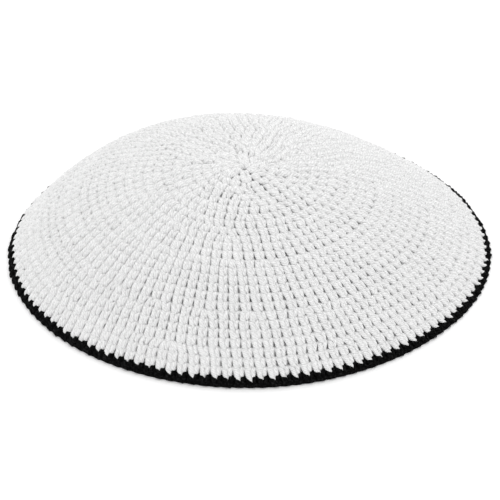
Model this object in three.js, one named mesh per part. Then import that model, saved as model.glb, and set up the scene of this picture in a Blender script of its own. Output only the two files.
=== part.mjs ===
// A crocheted kippah (skullcap): a shallow white dome worked in rounds from its
// centre, and the single black round that closes its rim.
//
// Millimetres, +Z up. The rim lies in the plane Z = 0 with the origin at its
// middle, and the wearer's brow is towards -Y. A point of the cloth is found by
// its azimuth round the rim and its turn, which runs from 0 at the centre of
// the dome to a quarter circle at the rim.

import * as THREE from 'three';

// ---------------------------------------------------------------- driving sizes

const RIM_RADIUS = 85;
const DOME_HEIGHT = 37.6;
const CROWN_POWER = 2.4;      // how fast the height falls off from the centre
const CENTRE_SHIFT = -2;      // the crocheted centre sits this far off along X
const RIPPLE_POWER = 8;       // how close to the rim a ripple stays

const WALL = 2.6;             // thickness of the crocheted cloth
const SEAM_GAP = 0.3;         // between the white crown and the black edge

const SEGMENTS = 72;          // round the rim
const CROWN_ROWS = 18;        // from the centre to the edge of the crown
const EDGE_ROWS = 3;          // down the black edge
const WALK_STEP = 0.002;      // radians, when measuring along the cloth
const NEARBY = 0.001;         // radians, to the neighbours that give the cloth's slope
const RIM_EASE = 24;          // how close to the rim the wall turns level

const RIM_TURN = Math.PI / 2;

// The cap was worked by hand and is not quite round. Eight places along the rim,
// an eighth of a turn apart, counted from +X towards +Y:
//   rise      how much of the height stands up straight from the rim, in millimetres
//   fullness  swells the shoulder halfway up by this share of the height
//   ripple    pushes the rim outwards there, in millimetres
//   edge      height of the black round there, measured along the cloth, in millimetres
const OUTLINE = [
  { place: 'right', rise: 4, fullness: 0.035, ripple: 0.8, edge: 3.2 },
  { place: 'back right', rise: 1.5, fullness: 0.074, ripple: 0, edge: 3.2 },
  { place: 'back', rise: 4, fullness: 0.118, ripple: 0.1, edge: 3.4 },
  { place: 'back left', rise: 3, fullness: 0.168, ripple: -1.3, edge: 3.6 },
  { place: 'left', rise: 3.5, fullness: 0.15, ripple: 0.8, edge: 3.6 },
  { place: 'front left', rise: 10, fullness: 0.06, ripple: 0.7, edge: 4.2 },
  { place: 'front', rise: 13, fullness: 0.04, ripple: 0.2, edge: 4.6 },
  { place: 'front right', rise: 9, fullness: 0, ripple: -1.4, edge: 4.2 },
];

// --------------------------------------------------------------- the dome's form

/** A column of OUTLINE at an azimuth, eased along a closed Catmull-Rom curve. */
function outlineAt(column, azimuth) {
  const places = OUTLINE.length;
  const along = THREE.MathUtils.euclideanModulo(azimuth / (2 * Math.PI), 1) * places;
  const index = Math.floor(along);
  const share = along - index;
  const row = (k) => OUTLINE[(index + k + places) % places][column];
  const [before, here, after, beyond] = [row(-1), row(0), row(1), row(2)];
  const linear = after - before;
  const square = 2 * before - 5 * here + 4 * after - beyond;
  const cube = 3 * (here - after) + beyond - before;
  return here + (share * (linear + share * (square + share * cube))) / 2;
}

/** A point on the outside of the cloth. */
function clothPoint(azimuth, turn) {
  const rise = outlineAt('rise', azimuth);
  const outwards = Math.sin(turn);
  const inwards = Math.cos(turn);
  const shoulder = (2 * outwards * inwards) ** 2;
  const swell = outlineAt('fullness', azimuth) * DOME_HEIGHT * shoulder;
  const ripple = outlineAt('ripple', azimuth) * outwards ** RIPPLE_POWER;
  const radius = RIM_RADIUS * outwards + ripple;
  return new THREE.Vector3(
    radius * Math.cos(azimuth) + CENTRE_SHIFT * inwards ** 2,
    radius * Math.sin(azimuth),
    rise * inwards + (DOME_HEIGHT - rise) * inwards ** CROWN_POWER + swell,
  );
}

/** The direction through the cloth, pointing out of it. It is square to the outside,
 *  and eases level at the rim, where the cloth stands on its edge. */
function throughCloth(azimuth, turn) {
  const along = clothPoint(azimuth + NEARBY, turn).sub(clothPoint(azimuth - NEARBY, turn));
  const lower = clothPoint(azimuth, Math.min(turn + NEARBY, RIM_TURN));
  const down = lower.sub(clothPoint(azimuth, turn - NEARBY));
  const direction = down.cross(along).normalize();
  direction.z *= 1 - Math.sin(turn) ** RIM_EASE;
  return direction.normalize();
}

/** The turn reached by walking a distance up the outside of the cloth from the rim. */
function turnAbove(azimuth, distance) {
  let turn = RIM_TURN;
  let walked = 0;
  let here = clothPoint(azimuth, turn);
  while (walked < distance) {
    turn -= WALK_STEP;
    const next = clothPoint(azimuth, turn);
    walked += next.distanceTo(here);
    here = next;
  }
  return turn;
}

// ------------------------------------------------------------------ solid making

/** Every azimuth at which the cloth has a column of corners. */
function azimuths() {
  return Array.from({ length: SEGMENTS }, (_, i) => (2 * Math.PI * i) / SEGMENTS);
}

/** A closed solid from rings of corners, each ring joined to the next.
 *  A ring of one corner is a pole, and a solid without poles closes on itself. */
function solidFromRings(rings) {
  const corners = [];
  const starts = rings.map((ring) => {
    const start = corners.length / 3;
    ring.forEach((corner) => corners.push(corner.x, corner.y, corner.z));
    return start;
  });
  const faces = [];
  const hasPoles = rings[0].length === 1;
  const bands = hasPoles ? rings.length - 1 : rings.length;
  for (let band = 0; band < bands; band += 1) {
    const next = (band + 1) % rings.length;
    for (let i = 0; i < SEGMENTS; i += 1) {
      const j = (i + 1) % SEGMENTS;
      const corner = (ring, k) => starts[ring] + (rings[ring].length === 1 ? 0 : k);
      if (rings[next].length > 1) {
        faces.push(corner(band, i), corner(next, i), corner(next, j));
      }
      if (rings[band].length > 1) {
        faces.push(corner(band, i), corner(next, j), corner(band, j));
      }
    }
  }
  const geometry = new THREE.BufferGeometry();
  geometry.setAttribute('position', new THREE.Float32BufferAttribute(corners, 3));
  geometry.setIndex(faces);
  geometry.computeVertexNormals();
  return geometry;
}

/** One ring of corners on the outside of the cloth, at a turn given for each azimuth. */
function outsideRing(turnAt) {
  return azimuths().map((azimuth) => clothPoint(azimuth, turnAt(azimuth)));
}

/** The same ring on the inside of the cloth, one wall deeper. */
function insideRing(turnAt) {
  return azimuths().map((azimuth) => {
    const turn = turnAt(azimuth);
    return clothPoint(azimuth, turn).addScaledVector(throughCloth(azimuth, turn), -WALL);
  });
}

// -------------------------------------------------------------------- the pieces

/** The white dome, open below: outside from the centre down, then inside back up. */
function crownGeometry() {
  const edgeTurns = new Map(
    azimuths().map((a) => [a, turnAbove(a, outlineAt('edge', a) + SEAM_GAP)]),
  );
  const outside = [];
  const inside = [];
  for (let row = 1; row <= CROWN_ROWS; row += 1) {
    const turnAt = (azimuth) => (edgeTurns.get(azimuth) * row) / CROWN_ROWS;
    outside.push(outsideRing(turnAt));
    inside.unshift(insideRing(turnAt));
  }
  const centre = new THREE.Vector3(CENTRE_SHIFT, 0, DOME_HEIGHT);
  const underCentre = new THREE.Vector3(CENTRE_SHIFT, 0, DOME_HEIGHT - WALL);
  return solidFromRings([[centre], ...outside, ...inside, [underCentre]]);
}

/** The black round, with a flat foot in the plane of the rim. */
function edgeGeometry() {
  const topTurns = new Map(azimuths().map((a) => [a, turnAbove(a, outlineAt('edge', a))]));
  const outside = [];
  const inside = [];
  for (let row = 0; row <= EDGE_ROWS; row += 1) {
    const share = row / EDGE_ROWS;
    const turnAt = (azimuth) => THREE.MathUtils.lerp(topTurns.get(azimuth), RIM_TURN, share);
    outside.push(outsideRing(turnAt));
    inside.unshift(insideRing(turnAt));
  }
  inside[0].forEach((corner) => corner.setZ(0));
  return solidFromRings([...outside, ...inside]);
}

/** A named piece of the cap in its own yarn. */
function piece(name, geometry, colour, roughness) {
  const yarn = new THREE.MeshStandardMaterial({ color: colour, roughness, metalness: 0 });
  const mesh = new THREE.Mesh(geometry, yarn);
  mesh.name = name;
  return mesh;
}

const kippah = new THREE.Group();
kippah.name = 'kippah';
kippah.add(piece('crown', crownGeometry(), '#f2f2ef', 0.85));
kippah.add(piece('edge_band', edgeGeometry(), '#151515', 0.75));

export default kippah;
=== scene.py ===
import logging
import math
from dataclasses import dataclass, field, replace
from enum import Enum

import bpy
import numpy as np
from mathutils import Matrix, Vector


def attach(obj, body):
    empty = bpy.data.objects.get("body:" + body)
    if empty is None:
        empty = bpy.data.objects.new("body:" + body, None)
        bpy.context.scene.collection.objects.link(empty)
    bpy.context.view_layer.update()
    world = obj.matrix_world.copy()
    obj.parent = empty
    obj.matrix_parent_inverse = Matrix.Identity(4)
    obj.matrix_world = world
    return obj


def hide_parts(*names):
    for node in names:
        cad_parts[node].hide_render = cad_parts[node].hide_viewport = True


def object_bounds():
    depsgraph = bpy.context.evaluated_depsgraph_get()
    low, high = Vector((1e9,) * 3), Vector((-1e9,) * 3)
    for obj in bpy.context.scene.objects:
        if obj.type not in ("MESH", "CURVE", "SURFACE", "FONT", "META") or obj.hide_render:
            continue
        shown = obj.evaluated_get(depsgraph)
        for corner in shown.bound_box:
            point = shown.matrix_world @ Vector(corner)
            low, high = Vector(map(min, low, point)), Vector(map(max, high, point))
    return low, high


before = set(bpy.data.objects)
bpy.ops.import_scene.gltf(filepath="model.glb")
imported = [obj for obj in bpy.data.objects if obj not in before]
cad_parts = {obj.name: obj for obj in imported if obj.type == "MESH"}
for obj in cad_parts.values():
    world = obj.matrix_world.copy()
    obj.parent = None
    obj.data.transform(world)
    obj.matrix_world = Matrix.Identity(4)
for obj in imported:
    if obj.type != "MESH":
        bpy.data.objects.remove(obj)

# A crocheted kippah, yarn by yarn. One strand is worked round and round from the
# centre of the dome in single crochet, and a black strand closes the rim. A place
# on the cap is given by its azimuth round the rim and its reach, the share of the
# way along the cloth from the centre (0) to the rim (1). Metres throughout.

LOG = logging.getLogger("kippah")
CAD_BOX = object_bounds()
MM = 0.001
RIM_RADIUS = 85.0 * MM
FULL_TURN = 2.0 * math.pi


class Yarn(Enum):
    """The two strands of the cap, by the record's material slot."""

    WHITE = "crown_yarn"
    BLACK = "edge_yarn"


# ------------------------------------------------------------------ the dome's form


@dataclass(frozen=True)
class Dome:
    """The outside of the cap's cloth, as the CAD part has it.

    The outline columns hold eight places an eighth of a turn apart, from +X
    towards +Y: how much of the height stands straight up from the rim, how the
    shoulder swells above that place, how far the rim ripples outwards, and how
    tall the black edge is there. The edge always starts at edge_reach.
    """

    radius: float
    height: float
    crown_power: float = 2.4
    ripple_power: float = 8.0
    centre_shift: float = -2.0 * MM
    rise: tuple[float, ...] = (4.0, 1.5, 4.0, 3.0, 3.5, 10.0, 13.0, 9.0)
    fullness: tuple[float, ...] = (0.035, 0.074, 0.118, 0.168, 0.15, 0.06, 0.04, 0.0)
    ripple: tuple[float, ...] = (0.8, 0.0, 0.1, -1.3, 0.8, 0.7, 0.2, -1.4)
    edge: tuple[float, ...] = (3.2, 3.2, 3.4, 3.6, 3.6, 4.2, 4.6, 4.2)
    edge_reach: float = 0.957
    columns: int = 512
    rows: int = 400
    nearby: float = 2e-3

    def __post_init__(self) -> None:
        """Works out the table that turns a reach along the cloth into a turn."""
        turns = np.linspace(0.0, math.pi / 2, self.rows)
        azimuths = np.linspace(0.0, FULL_TURN, self.columns, endpoint=False)
        grid = self.at_turn(azimuths[:, None], turns[None, :])
        steps = np.linalg.norm(np.diff(grid, axis=1), axis=2)
        walked = np.concatenate([np.zeros((self.columns, 1)), np.cumsum(steps, axis=1)], axis=1)
        lengths = walked[:, -1]
        edge_starts = 1.0 - self.around(self.edge, azimuths) * MM / lengths
        reaches = np.linspace(0.0, 1.0, self.rows)[None, :]
        white = reaches / self.edge_reach * edge_starts[:, None]
        black = 1.0 - (1.0 - reaches) / (1.0 - self.edge_reach) * (1.0 - edge_starts[:, None])
        shares = np.where(reaches < self.edge_reach, white, black)
        table = np.stack(
            [np.interp(share, way / way[-1], turns) for share, way in zip(shares, walked)]
        )
        object.__setattr__(self, "_turn_table", table)
        object.__setattr__(self, "_cloth_length", float(lengths.mean()))

    @property
    def cloth_length(self) -> float:
        """The mean way along the cloth from the centre to the rim."""
        return self._cloth_length

    @staticmethod
    def around(values: tuple[float, ...], azimuth: np.ndarray) -> np.ndarray:
        """Eases a column of the outline round the rim.

        A closed Catmull-Rom curve runs through the values at equal azimuths.

        Args:
            values: one number for each place along the rim.
            azimuth: angles round the rim, in radians.

        Returns:
            The eased value at every azimuth.
        """
        column = np.asarray(values)
        place = (azimuth / FULL_TURN) % 1.0 * len(column)
        index = np.floor(place).astype(int)
        share = place - index
        before, here, after, beyond = (column[(index + k) % len(column)] for k in (-1, 0, 1, 2))
        linear = after - before
        square = 2 * before - 5 * here + 4 * after - beyond
        cube = 3 * (here - after) + beyond - before
        return 0.5 * (2 * here + share * (linear + share * (square + share * cube)))

    def at_turn(self, azimuth: np.ndarray, turn: np.ndarray) -> np.ndarray:
        """Finds points on the outside of the cloth.

        With o the sine and i the cosine of the turn, the radius is
        R o + ripple o^ripple_power, the centre is shifted by shift i^2, and the
        height is rise i + (H - rise) i^crown_power + 4 H fullness o^2 i^2.

        Args:
            azimuth: angles round the rim.
            turn: 0 at the centre of the dome, a quarter circle at the rim.

        Returns:
            Points, with x, y and z along the last axis.
        """
        azimuth, turn = np.broadcast_arrays(azimuth, turn)
        outwards, inwards = np.sin(turn), np.maximum(np.cos(turn), 0.0)
        rise = self.around(self.rise, azimuth) * MM
        swell = 4 * self.around(self.fullness, azimuth) * self.height * (outwards * inwards) ** 2
        ripple = self.around(self.ripple, azimuth) * MM
        radius = self.radius * outwards + ripple * outwards**self.ripple_power
        return np.stack(
            [
                radius * np.cos(azimuth) + self.centre_shift * inwards**2,
                radius * np.sin(azimuth),
                rise * inwards + (self.height - rise) * inwards**self.crown_power + swell,
            ],
            axis=-1,
        )

    def point(self, azimuth: np.ndarray, reach: np.ndarray) -> np.ndarray:
        """Finds points by reach, from the table of turns eased both ways.

        Args:
            azimuth: angles round the rim.
            reach: shares of the way from the centre to the rim.

        Returns:
            Points on the outside of the cloth.
        """
        azimuth, reach = np.broadcast_arrays(azimuth, reach)
        across = (azimuth / FULL_TURN) % 1.0 * self.columns
        along = np.clip(reach, 0.0, 1.0) * (self.rows - 1)
        left, low = np.floor(across).astype(int), np.minimum(np.floor(along).astype(int), self.rows - 2)
        u, v = across - left, along - low
        left, right = left % self.columns, (left + 1) % self.columns
        table = self._turn_table
        near = table[left, low] * (1 - u) + table[right, low] * u
        far = table[left, low + 1] * (1 - u) + table[right, low + 1] * u
        return self.at_turn(azimuth, near * (1 - v) + far * v)

    def basis(
        self, azimuth: np.ndarray, reach: np.ndarray
    ) -> tuple[np.ndarray, np.ndarray, np.ndarray]:
        """Finds the cloth's own directions at each place.

        Args:
            azimuth: angles round the rim.
            reach: shares of the way from the centre to the rim.

        Returns:
            Unit vectors along the round, towards the rim, and out of the cloth.
        """
        small = self.nearby
        reach = np.clip(reach, 2 * small, 1.0 - small)
        down = self.point(azimuth, reach + small) - self.point(azimuth, reach - small)
        along = self.point(azimuth + small, reach) - self.point(azimuth - small, reach)
        outwards = unit(np.cross(down, along))
        rimwards = unit(down)
        return np.cross(outwards, rimwards), rimwards, outwards


def unit(vectors: np.ndarray) -> np.ndarray:
    """Scales vectors along the last axis to length one."""
    return vectors / np.maximum(np.linalg.norm(vectors, axis=-1, keepdims=True), 1e-12)


# ----------------------------------------------------------------- the crochet stitch


@dataclass(frozen=True)
class StitchPath:
    """The way of the strand through one single crochet, as the right side shows it.

    Each row of knots is (across, down, out, thick): across the stitch in stitch
    widths, down towards the rim in round heights, out of the cloth in yarn
    radii, and the strand's thickness there. The path starts and ends behind the
    gaps on either side of the stitch, which the strand closes from behind.
    """

    knots: tuple[tuple[float, float, float, float], ...] = (
        (-0.02, 0.78, -1.75, 1.10),  # hanging behind the gap between two stitches
        (0.02, 0.36, -1.60, 1.00),
        (0.06, 0.10, -0.50, 0.90),  # out of the hole
        (0.18, 0.26, 0.22, 1.05),  # first leg
        (0.30, 0.46, 0.80, 1.14),
        (0.32, 0.74, 0.86, 1.15),
        (0.34, 0.98, 0.92, 1.08),
        (0.48, 1.17, 0.85, 0.86),
        (0.64, 1.37, 0.95, 0.63),  # its tip, over the next round
        (0.71, 1.22, -0.90, 0.62),  # turning in behind the tip
        (0.72, 1.00, -0.35, 0.96),
        (0.715, 0.78, 0.60, 1.12),  # second leg, up again
        (0.72, 0.48, 0.82, 1.15),
        (0.81, 0.26, 0.25, 1.05),
        (0.93, 0.07, -0.50, 0.90),  # into the next hole
        (0.95, 0.36, -1.60, 1.00),
    )
    steps: int = 22

    def sampled(self) -> np.ndarray:
        """Runs a smooth periodic curve through the knots.

        Returns:
            An array of steps rows with the knots' four columns, the first column
            growing by one stitch width over the whole.
        """
        knots = np.asarray(self.knots)
        count = len(knots)
        place = np.arange(self.steps) / self.steps * count
        index = np.floor(place).astype(int)
        share = (place - index)[:, None]

        def knot(k: int) -> np.ndarray:
            """The knots k places on, carried over into the neighbouring stitch."""
            wrapped = knots[(index + k) % count].copy()
            wrapped[:, 0] += (index + k) // count
            return wrapped

        before, here, after, beyond = knot(-1), knot(0), knot(1), knot(2)
        linear = after - before
        square = 2 * before - 5 * here + 4 * after - beyond
        cube = 3 * (here - after) + beyond - before
        return 0.5 * (2 * here + share * (linear + share * (square + share * cube)))

    def sides(self, shape: tuple[float, float, float]) -> np.ndarray:
        """Carries a sideways direction along the path without twisting it.

        The direction starts level at the first leg's middle and is turned by
        each bend of the path; what it misses by on coming round again is
        shared out evenly.

        Args:
            shape: stitch width, round height and yarn radius, in metres.

        Returns:
            One unit vector for each step, in the stitch's own axes.
        """
        path = self.sampled()[:, :3] * np.asarray(shape)
        period = np.array([shape[0], 0.0, 0.0])
        ahead = np.roll(path, -1, axis=0)
        ahead[-1] += period
        behind = np.roll(path, 1, axis=0)
        behind[0] -= period
        tangent = unit(ahead - behind)
        start = self.steps // 4
        side = unit(np.cross(tangent[start], [0.0, 0.0, 1.0]))
        carried = np.zeros_like(path)
        for i in range(self.steps + 1):
            here = (start + i) % self.steps
            side = unit(side - tangent[here] * side.dot(tangent[here]))
            if i < self.steps:
                carried[here] = side
        missed = math.atan2(
            np.cross(carried[start], side).dot(tangent[start]),
            carried[start].dot(side),
        )
        turn = -missed * ((np.arange(self.steps) - start) % self.steps) / self.steps
        other = np.cross(tangent, carried)
        return carried * np.cos(turn)[:, None] + other * np.sin(turn)[:, None]


@dataclass(frozen=True)
class Round:
    """One round of stitches: where each stands and the hole it was worked into."""

    base: np.ndarray
    top: np.ndarray
    start: float
    end: float


@dataclass(frozen=True)
class Pattern:
    """The written pattern: how many stitches each round has, from the centre out."""

    counts: tuple[int, ...] = (
        *(6, 12, 18, 24, 30, 36, 42, 48, 54, 60),
        *(72, 72, 72, 96, 96, 96, 96, 96, 96),
        *(120, 120, 120, 120, 128, 128, 128, 128),
    )
    lean: float = 0.08
    first_reach: float = 0.012
    edge_reach: float = 0.957
    last_reach: float = 0.988
    unevenness: float = 0.03
    seed: int = 7

    def rounds(self) -> list[Round]:
        """Places every stitch of every round above its parent in the round before.

        A round with more stitches than the last works two into some parents,
        evenly spaced from a random start. Each round leans a little further on
        than the last.

        Returns:
            The rounds from the centre to the rim.
        """
        rng = np.random.default_rng(self.seed)
        reaches = np.linspace(self.first_reach, self.edge_reach, len(self.counts))
        reaches = np.append(reaches, self.last_reach)
        made: list[Round] = []
        parents = np.arange(self.counts[0]) * FULL_TURN / self.counts[0]
        for k, count in enumerate(self.counts):
            chosen = (np.arange(count) * len(parents) + rng.integers(count)) // count
            base = parents[chosen % len(parents)] + FULL_TURN * (chosen // len(parents))
            even = np.arange(count) * FULL_TURN / count
            top = even + np.mean(base - even) + self.lean * FULL_TURN / count
            top = top + rng.normal(0.0, self.unevenness, count) * FULL_TURN / count
            made.append(Round(base, top, reaches[k], reaches[k + 1]))
            parents = top
        return made


@dataclass
class YarnRound:
    """A strand carried through all the stitches of one round.

    The strand's middle line is the stitch path bent along the dome; an oval
    section is carried along it, out of the cloth by its thickness and along the
    cloth by its width, and the two ends meet. No two stitches are quite alike:
    the uneven fields are how far one strays sideways and down the round (in
    stitches), out of the cloth (as a share, and in metres) and in thickness.
    What would reach below the plane of the rim is pressed flat there, where the
    cap rests.
    """

    dome: Dome
    stitch: StitchPath
    layout: Round
    width: float = 0.95 * MM
    thickness: float = 0.78 * MM
    depth: float = 0.74 * MM
    sink: float = 1.15 * MM
    sides: int = 6
    jitter: float = 1.0
    uneven_across: float = 0.030
    uneven_down: float = 0.035
    uneven_out: float = 0.10
    uneven_lift: float = 0.10 * MM
    uneven_thick: float = 0.05
    seed: int = 0

    def mesh(self) -> tuple[np.ndarray, np.ndarray, np.ndarray]:
        """Builds the strand.

        Returns:
            Corner points, quads, and (along, around) in yarn diameters for each
            corner of each quad.
        """
        centre, side, tangent, thick = self.line()
        other = np.cross(tangent, side)
        angle = np.arange(self.sides) * FULL_TURN / self.sides
        wide = self.width * thick[:, None, None] * side[:, None, :]
        tall = self.thickness * thick[:, None, None] * other[:, None, :]
        rings = centre[:, None, :] + np.cos(angle)[:, None] * wide + np.sin(angle)[:, None] * tall
        rings[..., 2] = np.maximum(rings[..., 2], 0.0)
        count, sides = len(centre), self.sides
        ring, spoke = np.meshgrid(np.arange(count), np.arange(sides), indexing="ij")
        next_ring, next_spoke = (ring + 1) % count, (spoke + 1) % sides
        corners = [(ring, spoke), (next_ring, spoke), (next_ring, next_spoke), (ring, next_spoke)]
        quads = np.stack([r * sides + s for r, s in corners], axis=-1).reshape(-1, 4)
        lengths = np.linalg.norm(np.roll(centre, -1, axis=0) - centre, axis=1)
        along = np.concatenate([[0.0], np.cumsum(lengths)]) / (2 * self.width)
        u = np.stack([along[ring], along[ring + 1], along[ring + 1], along[ring]], axis=-1)
        v = np.stack([spoke, spoke, spoke + 1, spoke + 1], axis=-1) / sides
        return rings.reshape(-1, 3), quads, np.stack([u, v], axis=-1).reshape(-1, 2)

    def line(self) -> tuple[np.ndarray, np.ndarray, np.ndarray, np.ndarray]:
        """Bends the stitch path along the dome, once for each stitch.

        Within a stitch, the azimuth runs between the holes at its base and
        between the middles of its top, in step with the way down the round.

        Returns:
            Middle points, sideways unit vectors, tangents and thickness factors.
        """
        rng = np.random.default_rng(self.seed)
        path = self.stitch.sampled()
        count = len(self.layout.top)
        height = (self.layout.end - self.layout.start) * self.dome.cloth_length
        across, down, out, thick = (path[None, :, k] for k in range(4))
        wobble = self.jitter * rng.normal(size=(6, count, 1))
        hump = np.clip(down, 0.0, 1.0)
        base = np.append(self.layout.base, self.layout.base[0] + FULL_TURN)
        top = np.append(self.layout.top, self.layout.top[0] + FULL_TURN)
        low = base[:-1, None] + (base[1:] - base[:-1])[:, None] * across
        high = top[:-1, None] + (top[1:] - top[:-1])[:, None] * across
        step = FULL_TURN / count
        stray = self.uneven_across * step * wobble[0] * hump * (1 - across)
        azimuth = low * (1 - hump) + high * hump + stray
        share = down + self.uneven_down * wobble[1] * hump
        reach = self.layout.start + (self.layout.end - self.layout.start) * share
        lift = out * self.depth * (1 + self.uneven_out * wobble[2]) - self.sink
        lift = lift + self.uneven_lift * wobble[3] * hump
        thick = thick * (1 + self.uneven_thick * wobble[4])
        point = self.dome.point(azimuth, reach)
        along, rimwards, outwards = self.dome.basis(azimuth, reach)
        centre = (point + outwards * lift[..., None]).reshape(-1, 3)
        width = np.linalg.norm(point[:, 0] - np.roll(point[:, 0], 1, axis=0), axis=-1).mean()
        local = self.stitch.sides((width, height, self.depth))
        side = (
            local[None, :, :1] * along
            + local[None, :, 1:2] * rimwards
            + local[None, :, 2:] * outwards
        )
        tangent = unit(np.roll(centre, -1, axis=0) - np.roll(centre, 1, axis=0))
        side = side.reshape(-1, 3)
        side = unit(side - tangent * np.sum(side * tangent, axis=1, keepdims=True))
        return centre, side, tangent, thick.reshape(-1)


# --------------------------------------------------------------------------- meshes


def put_mesh(name: str, parts: list[tuple[np.ndarray, np.ndarray, np.ndarray]]) -> bpy.types.Object:
    """Joins strands into one mesh object with a UV map along and around the yarn.

    Args:
        name: the object's name.
        parts: corner points, quads and UVs of each strand.

    Returns:
        The new object, at the origin, smooth shaded.
    """
    starts = np.cumsum([0] + [len(points) for points, _, _ in parts[:-1]])
    points = np.concatenate([part[0] for part in parts])
    quads = np.concatenate([part[1] + start for part, start in zip(parts, starts)])
    uvs = np.concatenate([part[2] for part in parts])
    mesh = bpy.data.meshes.new(name)
    mesh.vertices.add(len(points))
    mesh.vertices.foreach_set("co", points.astype(np.float32).ravel())
    mesh.loops.add(quads.size)
    mesh.loops.foreach_set("vertex_index", quads.astype(np.int32).ravel())
    mesh.polygons.add(len(quads))
    mesh.polygons.foreach_set("loop_start", np.arange(0, quads.size, 4, dtype=np.int32))
    mesh.polygons.foreach_set("loop_total", np.full(len(quads), 4, dtype=np.int32))
    mesh.update(calc_edges=True)
    layer = mesh.uv_layers.new(name="yarn")
    layer.data.foreach_set("uv", uvs.astype(np.float32).ravel())
    mesh.polygons.foreach_set("use_smooth", np.ones(len(quads), dtype=bool))
    mesh.update()
    piece = bpy.data.objects.new(name, mesh)
    bpy.context.scene.collection.objects.link(piece)
    return piece


# ------------------------------------------------------------------------- finishes


@dataclass(frozen=True)
class YarnFinish:
    """Soft spun yarn: plies that wind round the strand, fine fibres and mottling."""

    name: str
    light: tuple[float, float, float, float]
    dark: tuple[float, float, float, float]
    roughness: float
    sheen: float
    specular: float = 0.25
    flecks: tuple[float, float] = (0.35, 0.62)
    plies: int = 6
    twist: float = 0.30
    # Share of the colour range given to painted shade in the grooves between the plies.
    groove_shade_share: float = 0.45
    bump: float = 0.75

    def material(self) -> bpy.types.Material:
        """Builds the node material.

        The plies are rounded ridges, the size of the sine of pi times plies
        times (around + twist x along), in the strand's own coordinates. Fine
        noise roughs them up and coarser noise mottles them. The grooves
        between the plies are painted shade: there the colour is drawn
        towards the darker colour, and the mottling draws on it too.

        Returns:
            The material.
        """
        made = bpy.data.materials.new(self.name)
        made.use_nodes = True
        tree = made.node_tree
        shader = tree.nodes["Principled BSDF"]
        shader.inputs["Roughness"].default_value = self.roughness
        shader.inputs["Sheen Weight"].default_value = self.sheen
        shader.inputs["Sheen Roughness"].default_value = 0.5
        shader.inputs["Specular IOR Level"].default_value = self.specular

        strand = tree.nodes.new("ShaderNodeUVMap")
        strand.uv_map = "yarn"
        split = tree.nodes.new("ShaderNodeSeparateXYZ")
        tree.links.new(strand.outputs["UV"], split.inputs["Vector"])
        wind = self.sum(tree, split.outputs["X"], self.twist, split.outputs["Y"])
        angle = self.sum(tree, wind, math.pi * self.plies)
        wave = self.maths(tree, "SINE", angle)
        ridge = self.maths(tree, "ABSOLUTE", wave)

        fibres = self.noise(tree, scale=2600.0, detail=3.0)
        height = self.sum(tree, ridge, 1.5, fibres)
        bump = tree.nodes.new("ShaderNodeBump")
        bump.inputs["Strength"].default_value = self.bump
        bump.inputs["Distance"].default_value = 0.1 * MM
        tree.links.new(height, bump.inputs["Height"])
        tree.links.new(bump.outputs["Normal"], shader.inputs["Normal"])

        spread = tree.nodes.new("ShaderNodeMapRange")
        spread.inputs["From Min"].default_value = self.flecks[0]
        spread.inputs["From Max"].default_value = self.flecks[1]
        spread.inputs["To Max"].default_value = 1.0 - self.groove_shade_share
        tree.links.new(self.noise(tree, scale=1300.0, detail=4.0), spread.inputs["Value"])
        # Painted shade: the ply grooves are drawn towards the darker colour, on top of the random
        # mottling.
        light = self.sum(tree, ridge, self.groove_shade_share, spread.outputs["Result"])
        colour = tree.nodes.new("ShaderNodeMix")
        colour.data_type = "RGBA"
        colour.inputs["A"].default_value = self.dark
        colour.inputs["B"].default_value = self.light
        tree.links.new(light, colour.inputs["Factor"])
        tree.links.new(colour.outputs["Result"], shader.inputs["Base Color"])
        return made

    @staticmethod
    def noise(tree: bpy.types.NodeTree, scale: float, detail: float) -> bpy.types.NodeSocket:
        """Adds noise on Object coordinates, with scale waves to a metre."""
        place = tree.nodes.new("ShaderNodeTexCoord")
        made = tree.nodes.new("ShaderNodeTexNoise")
        made.inputs["Scale"].default_value = scale
        made.inputs["Detail"].default_value = detail
        made.inputs["Roughness"].default_value = 0.7
        tree.links.new(place.outputs["Object"], made.inputs["Vector"])
        return made.outputs["Fac"]

    @staticmethod
    def maths(
        tree: bpy.types.NodeTree, operation: str, value: bpy.types.NodeSocket
    ) -> bpy.types.NodeSocket:
        """Adds a function of one value."""
        made = tree.nodes.new("ShaderNodeMath")
        made.operation = operation
        tree.links.new(value, made.inputs[0])
        return made.outputs[0]

    @staticmethod
    def sum(
        tree: bpy.types.NodeTree,
        value: bpy.types.NodeSocket,
        times: float,
        plus: bpy.types.NodeSocket | None = None,
    ) -> bpy.types.NodeSocket:
        """Adds value x times + plus, or value x times alone."""
        made = tree.nodes.new("ShaderNodeMath")
        made.operation = "MULTIPLY_ADD"
        made.inputs[1].default_value = times
        made.inputs[2].default_value = 0.0
        tree.links.new(value, made.inputs[0])
        if plus is not None:
            tree.links.new(plus, made.inputs[2])
        return made.outputs[0]


# --------------------------------------------------------------------- sub-assemblies


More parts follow.
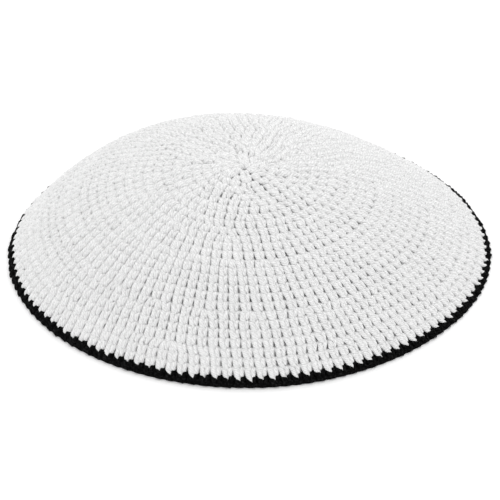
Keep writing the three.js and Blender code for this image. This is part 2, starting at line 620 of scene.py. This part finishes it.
@dataclass
class Crown:
    """The white dome: every round but the last, in groups of neighbouring rounds."""

    dome: Dome
    pattern: Pattern
    stitch: StitchPath = field(default_factory=StitchPath)
    finish: YarnFinish = YarnFinish(
        name="white_cotton_yarn",
        light=(0.985, 0.985, 0.985, 1.0),
        dark=(0.66, 0.66, 0.66, 1.0),
        roughness=0.85,
        sheen=0.25,
    )
    group_ends: tuple[int, ...] = (13, 18, 22, 26)
    tight_rounds: int = 15
    tightness: float = 0.11
    uneven_rounds: int = 8
    unevenness: float = 1.6

    def build(self) -> list[bpy.types.Object]:
        """Works the white rounds.

        Returns:
            One object for each group of rounds.
        """
        rounds = self.pattern.rounds()[:-1]
        cloth = self.finish.material()
        pieces = []
        first = 0
        for end in self.group_ends:
            strands = [self.worked(rounds[k], k).mesh() for k in range(first, end)]
            piece = put_mesh(f"crown_rounds_{first + 1}_to_{end}", strands)
            piece.data.materials.append(cloth)
            dress(piece, "crown")
            pieces.append(piece)
            first = end
        return pieces

    def worked(self, layout: Round, number: int) -> YarnRound:
        """Works one white round.

        The first rounds are worked tightly, so that the strand fills more of
        each stitch there, and less evenly than the rest. Both fall off in step
        with the rounds, over tight_rounds and uneven_rounds.

        Args:
            layout: where the round's stitches stand.
            number: the round, counted from 0 at the centre.

        Returns:
            The round's strand.
        """
        fuller = 1 + self.tightness * max(0.0, 1 - number / self.tight_rounds)
        jitter = 1 + self.unevenness * max(0.0, 1 - number / self.uneven_rounds)
        plain = YarnRound(self.dome, self.stitch, layout, jitter=jitter, seed=number)
        return replace(plain, width=plain.width * fuller, thickness=plain.thickness * fuller)


@dataclass
class EdgeBand:
    """The black round at the rim and the chain that its tops make along the edge."""

    dome: Dome
    pattern: Pattern
    stitch: StitchPath = field(default_factory=StitchPath)
    finish: YarnFinish = YarnFinish(
        name="black_cotton_yarn",
        light=(0.028, 0.028, 0.029, 1.0),
        dark=(0.0006, 0.0006, 0.0006, 1.0),
        roughness=0.80,
        sheen=0.004,
        specular=0.02,
        flecks=(0.50, 0.72),
        # Less painted shade in the ply grooves of the black yarn.
        groove_shade_share=0.12,
    )
    stitch_share: float = 0.78
    stitch_width: float = 1.10 * MM
    stitch_thickness: float = 0.70 * MM
    chain_place: float = 0.93
    chain_swing: tuple[float, float] = (0.05, 0.45)
    chain_thickness: float = 0.62 * MM
    chain_sink: float = 0.1
    chain_thick: float = 1.15
    chain_knots: int = 8
    chain_steps: int = 16

    def build(self) -> list[bpy.types.Object]:
        """Works the black round and its chain.

        Returns:
            The two objects.
        """
        rim = self.pattern.rounds()[-1]
        foot = rim.start + self.stitch_share * (rim.end - rim.start)
        worked = YarnRound(
            self.dome,
            self.stitch,
            Round(rim.base, rim.top, rim.start, foot),
            width=self.stitch_width,
            thickness=self.stitch_thickness,
            seed=99,
        )
        stitches = put_mesh("edge_round", [worked.mesh()])
        pairs = Round(rim.top[::2], rim.top[::2], rim.start, rim.end)
        strands = [
            YarnRound(
                self.dome,
                self.chain_path(phase),
                pairs,
                thickness=self.chain_thickness,
                jitter=0.5,
                seed=100,
            ).mesh()
            for phase in (0.0, 0.5)
        ]
        chain = put_mesh("edge_chain", strands)
        black = self.finish.material()
        for piece in (stitches, chain):
            piece.data.materials.append(black)
            dress(piece, "edge_band")
        return [stitches, chain]

    def chain_path(self, phase: float) -> StitchPath:
        """One of the two strands that wind round each other along the edge.

        The strand circles the middle of the chain once for every two stitches.

        Args:
            phase: where on its circle the strand starts, as a share of a circle.

        Returns:
            The strand's path.
        """
        down, out = self.chain_swing
        middle, sunk, thick = self.chain_place, self.chain_sink, self.chain_thick
        shares = np.arange(self.chain_knots) / self.chain_knots
        angles = (shares + phase) * FULL_TURN
        knots = tuple(
            (float(s), middle + down * math.cos(a), out * math.sin(a) - sunk, thick)
            for s, a in zip(shares, angles)
        )
        return StitchPath(knots=knots, steps=self.chain_steps)


def dress(piece: bpy.types.Object, node: str) -> None:
    """Hands a piece to the frame.

    Args:
        piece: the crocheted piece.
        node: the CAD node it stands for.
    """
    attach(piece, "root")
    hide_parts(node)


# ----------------------------------------------------------------------------- studio


@dataclass(frozen=True)
class Studio:
    """A white floor, a soft overhead light and a long lens on the cap."""

    cap_radius: float
    elevation: float = math.radians(32.9)
    roll: float = math.radians(0.25)
    distance_in_radii: float = 54.0
    radius_share: float = 0.480
    aim: tuple[float, float] = (0.0005, 0.0134)
    floor_gap: float = 0.1 * MM

    def build(self) -> None:
        """Sets the floor, the world, the lights and the camera."""
        self.floor()
        self.light()
        self.camera()

    def floor(self) -> None:
        """Lays a large pale floor a hair under the rim."""
        half = 30 * self.cap_radius
        level = -self.floor_gap
        corners = [
            (-half, -half, level),
            (half, -half, level),
            (half, half, level),
            (-half, half, level),
        ]
        mesh = bpy.data.meshes.new("floor")
        mesh.from_pydata(corners, [], [(0, 1, 2, 3)])
        floor = bpy.data.objects.new("floor", mesh)
        bpy.context.scene.collection.objects.link(floor)
        paint = bpy.data.materials.new("pale_floor")
        paint.use_nodes = True
        shader = paint.node_tree.nodes["Principled BSDF"]
        shader.inputs["Base Color"].default_value = (0.98, 0.98, 0.98, 1.0)
        shader.inputs["Roughness"].default_value = 0.9
        shader.inputs["Emission Color"].default_value = (1.0, 1.0, 1.0, 1.0)
        shader.inputs["Emission Strength"].default_value = 0.08
        mesh.materials.append(paint)

    def light(self) -> None:
        """Hangs one broad lamp above and behind, over an even white world."""
        scene = bpy.context.scene
        world = bpy.data.worlds.new("studio")
        scene.world = world
        world.use_nodes = True
        background = world.node_tree.nodes["Background"]
        background.inputs["Color"].default_value = (1.0, 1.0, 1.0, 1.0)
        background.inputs["Strength"].default_value = 1.02
        key = bpy.data.lights.new("key", "AREA")
        key.shape = "DISK"
        key.size = 10 * self.cap_radius
        key.energy = 1.2
        lamp = bpy.data.objects.new("key", key)
        lamp.location = Vector((1.0, 6.5, 6.5)) * self.cap_radius
        lamp.rotation_euler = (-lamp.location).to_track_quat("-Z", "Y").to_euler()
        scene.collection.objects.link(lamp)
        scene.view_settings.view_transform = "Standard"

    def camera(self) -> None:
        """Points a long lens at the rim's middle from the front."""
        away = self.distance_in_radii * self.cap_radius
        lens = bpy.data.cameras.new("camera")
        lens.sensor_width = 36.0
        lens.lens = self.radius_share * lens.sensor_width * self.distance_in_radii
        lens.clip_start = 0.1
        lens.clip_end = 3 * away
        lens.shift_x, lens.shift_y = self.aim
        camera = bpy.data.objects.new("camera", lens)
        camera.location = (0.0, -away * math.cos(self.elevation), away * math.sin(self.elevation))
        tilt = Matrix.Rotation(math.pi / 2 - self.elevation, 3, "X")
        camera.rotation_euler = (tilt @ Matrix.Rotation(self.roll, 3, "Z")).to_euler()
        bpy.context.scene.collection.objects.link(camera)
        bpy.context.scene.camera = camera


def main() -> None:
    """Builds the cap and its studio."""
    logging.basicConfig(level=logging.INFO, format="%(name)s: %(message)s")
    high = Vector(CAD_BOX[1])
    dome = Dome(radius=RIM_RADIUS, height=high.z)
    pattern = Pattern(edge_reach=dome.edge_reach)
    for part in (Crown(dome, pattern), EdgeBand(dome, pattern)):
        for piece in part.build():
            LOG.info("%s: %d quads", piece.name, len(piece.data.polygons))
    Studio(dome.radius).build()


if __name__ == "__main__":
    main()
